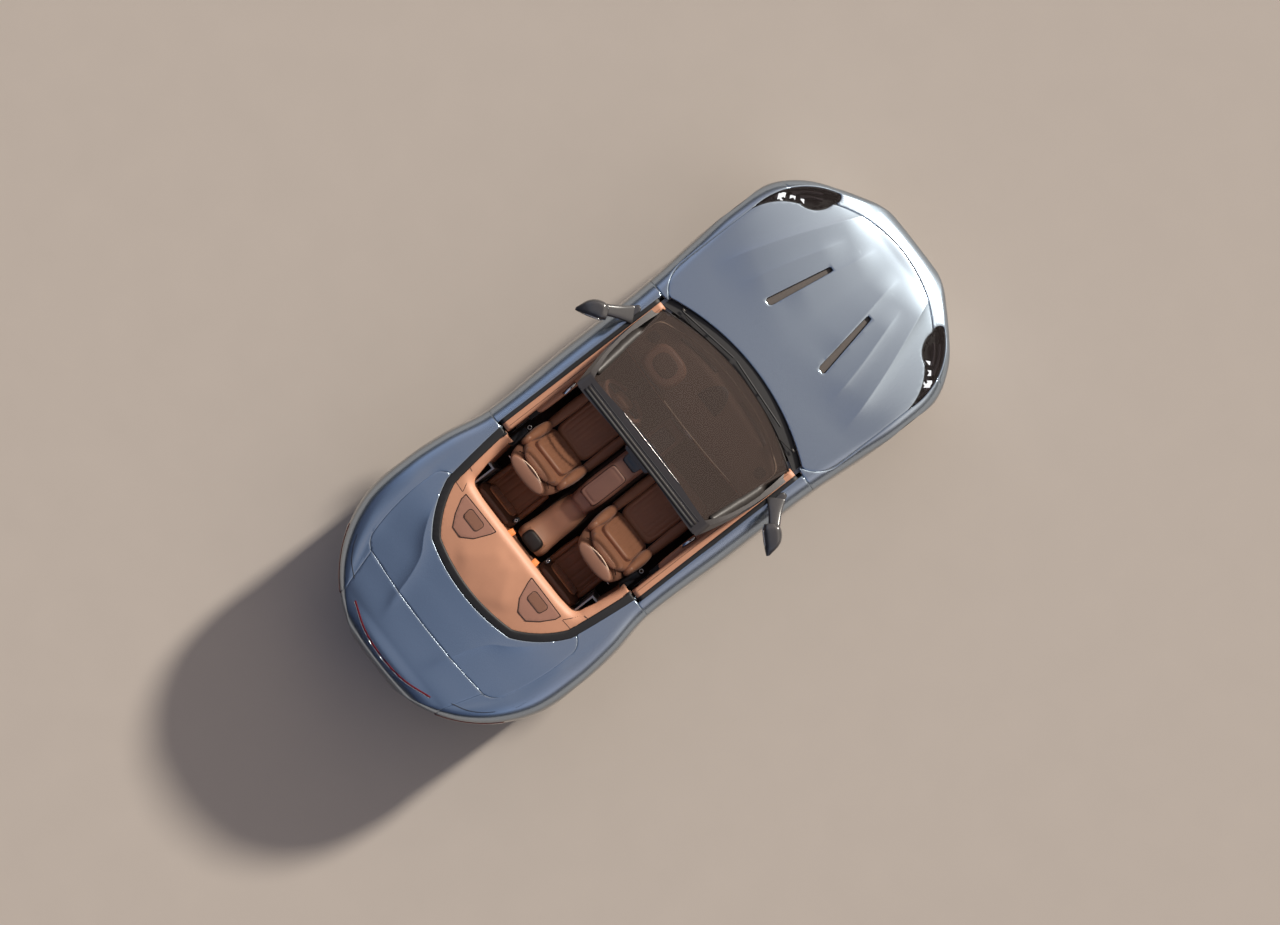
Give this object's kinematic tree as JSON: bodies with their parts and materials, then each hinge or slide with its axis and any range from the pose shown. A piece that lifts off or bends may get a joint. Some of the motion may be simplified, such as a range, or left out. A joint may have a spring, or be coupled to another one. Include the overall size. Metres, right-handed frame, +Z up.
{
  "type": "roadster convertible",
  "caption": "Front-engined two-plus-two convertible with its soft top stowed, opening doors, bonnet and boot lid, and steered front wheels.",
  "frame": {"origin": "on the ground, in the middle of the car's length and width", "axes": "+Z up, -Y forward towards the nose, +X to the car's left"},
  "size_m": [2.1532, 4.725, 1.258],
  "materials": {
    "body_paint": "metallic light steel-blue paint",
    "tan_leather": "tan leather",
    "brown_leather": "saddle-brown leather",
    "dark_gloss": "dark gloss",
    "dark_plastic": "matt black plastic",
    "seal_rubber": "black rubber",
    "lamp_glass": "clear lamp cover",
    "lamp_red": "red lamp cover",
    "dark_metal": "dark grey vanes",
    "steel": "steel",
    "frame_metal": "bare aluminium",
    "cast_metal": "cast metal",
    "engine_metal": "cast aluminium",
    "carpet": "dark carpet",
    "screen_glass": "brown-grey tinted glass",
    "rim_metal": "satin grey alloy",
    "tyre_rubber": "black rubber"
  },
  "bodies": {
    "body": {"front_bumper": "body_paint", "fenders": "body_paint", "side_skirts": "body_paint", "tonneau_cover": "body_paint", "quarter_panels": "body_paint", "rear_bumper": "body_paint", "headlamps": "lamp_glass", "tail_lamps": "lamp_red", "grille": "dark_metal", "front_splitter": "dark_gloss", "rear_diffuser": "dark_gloss", "exhaust": "steel", "cockpit_trim": "tan_leather", "cockpit_seal": "seal_rubber", "floor_pan": "carpet", "front_frame": "frame_metal", "rear_frame": "frame_metal", "boot_tub": "carpet", "wheel_liners": "dark_plastic", "windscreen": "screen_glass", "windscreen_frame": "dark_gloss", "cowl": "dark_plastic", "front_seats": "brown_leather", "rear_seats": "brown_leather", "dashboard": "brown_leather", "centre_console": "brown_leather", "interior_mirror": "dark_plastic", "front_suspension": "frame_metal", "rear_suspension": "cast_metal", "powertrain": "engine_metal"},
    "door_left_body": {"door_left": "body_paint", "mirror_left": "dark_gloss"},
    "door_right_body": {"door_right": "body_paint", "mirror_right": "dark_gloss"},
    "bonnet_body": {"bonnet": "body_paint"},
    "boot_lid_body": {"boot_lid": "body_paint"},
    "steering_wheel_body": {"steering_wheel": "brown_leather"},
    "knuckle_left_body": {"knuckle_left": "cast_metal"},
    "knuckle_right_body": {"knuckle_right": "cast_metal"},
    "wheel_front_left_body": {"wheel_front_left": "rim_metal", "tyre_front_left": "tyre_rubber"},
    "wheel_front_right_body": {"wheel_front_right": "rim_metal", "tyre_front_right": "tyre_rubber"},
    "wheel_rear_left_body": {"wheel_rear_left": "rim_metal", "tyre_rear_left": "tyre_rubber"},
    "wheel_rear_right_body": {"wheel_rear_right": "rim_metal", "tyre_rear_right": "tyre_rubber"}
  },
  "joints": [
    {"name": "door_left_hinge", "type": "hinge", "parent": "body", "child": "door_left_body", "pos_m": [0.902, -0.6735, 0.64], "axis": [0.0523, 0, -0.9986], "range_deg": [0, 65]},
    {"name": "door_right_hinge", "type": "hinge", "parent": "body", "child": "door_right_body", "pos_m": [-0.902, -0.6735, 0.64], "axis": [0.0523, 0, 0.9986], "range_deg": [0, 65]},
    {"name": "bonnet_hinge", "type": "hinge", "parent": "body", "child": "bonnet_body", "pos_m": [0, -2.3125, 0.594], "axis": [1, 0, 0], "range_deg": [0, 50]},
    {"name": "boot_lid_hinge", "type": "hinge", "parent": "body", "child": "boot_lid_body", "pos_m": [0, 1.7955, 0.875], "axis": [1, 0, 0], "range_deg": [0, 70]},
    {"name": "steering_wheel_turn", "type": "hinge", "parent": "body", "child": "steering_wheel_body", "pos_m": [0.372, -0.095, 0.742], "axis": [0, 0.9063, 0.4226], "range_deg": [-460, 460]},
    {"name": "steer_left", "type": "hinge", "parent": "body", "child": "knuckle_left_body", "pos_m": [0.778, -1.4925, 0.363], "axis": [0, 0, 1], "range_deg": [-35, 35]},
    {"name": "steer_right", "type": "hinge", "parent": "body", "child": "knuckle_right_body", "pos_m": [-0.778, -1.4925, 0.363], "axis": [0, 0, 1], "range_deg": [-35, 35]},
    {"name": "wheel_front_left_spin", "type": "hinge", "parent": "knuckle_left_body", "child": "wheel_front_left_body", "pos_m": [0.818, -1.4925, 0.363], "axis": [1, 0, 0], "continuous": true},
    {"name": "wheel_front_right_spin", "type": "hinge", "parent": "knuckle_right_body", "child": "wheel_front_right_body", "pos_m": [-0.818, -1.4925, 0.363], "axis": [1, 0, 0], "continuous": true},
    {"name": "wheel_rear_left_spin", "type": "hinge", "parent": "body", "child": "wheel_rear_left_body", "pos_m": [0.808, 1.3125, 0.363], "axis": [1, 0, 0], "continuous": true},
    {"name": "wheel_rear_right_spin", "type": "hinge", "parent": "body", "child": "wheel_rear_right_body", "pos_m": [-0.808, 1.3125, 0.363], "axis": [1, 0, 0], "continuous": true}
  ],
  "couplings": [
    {"joint": "steer_right", "follows": "steer_left", "ratio": 1},
    {"joint": "steering_wheel_turn", "follows": "steer_left", "ratio": -13}
  ]
}
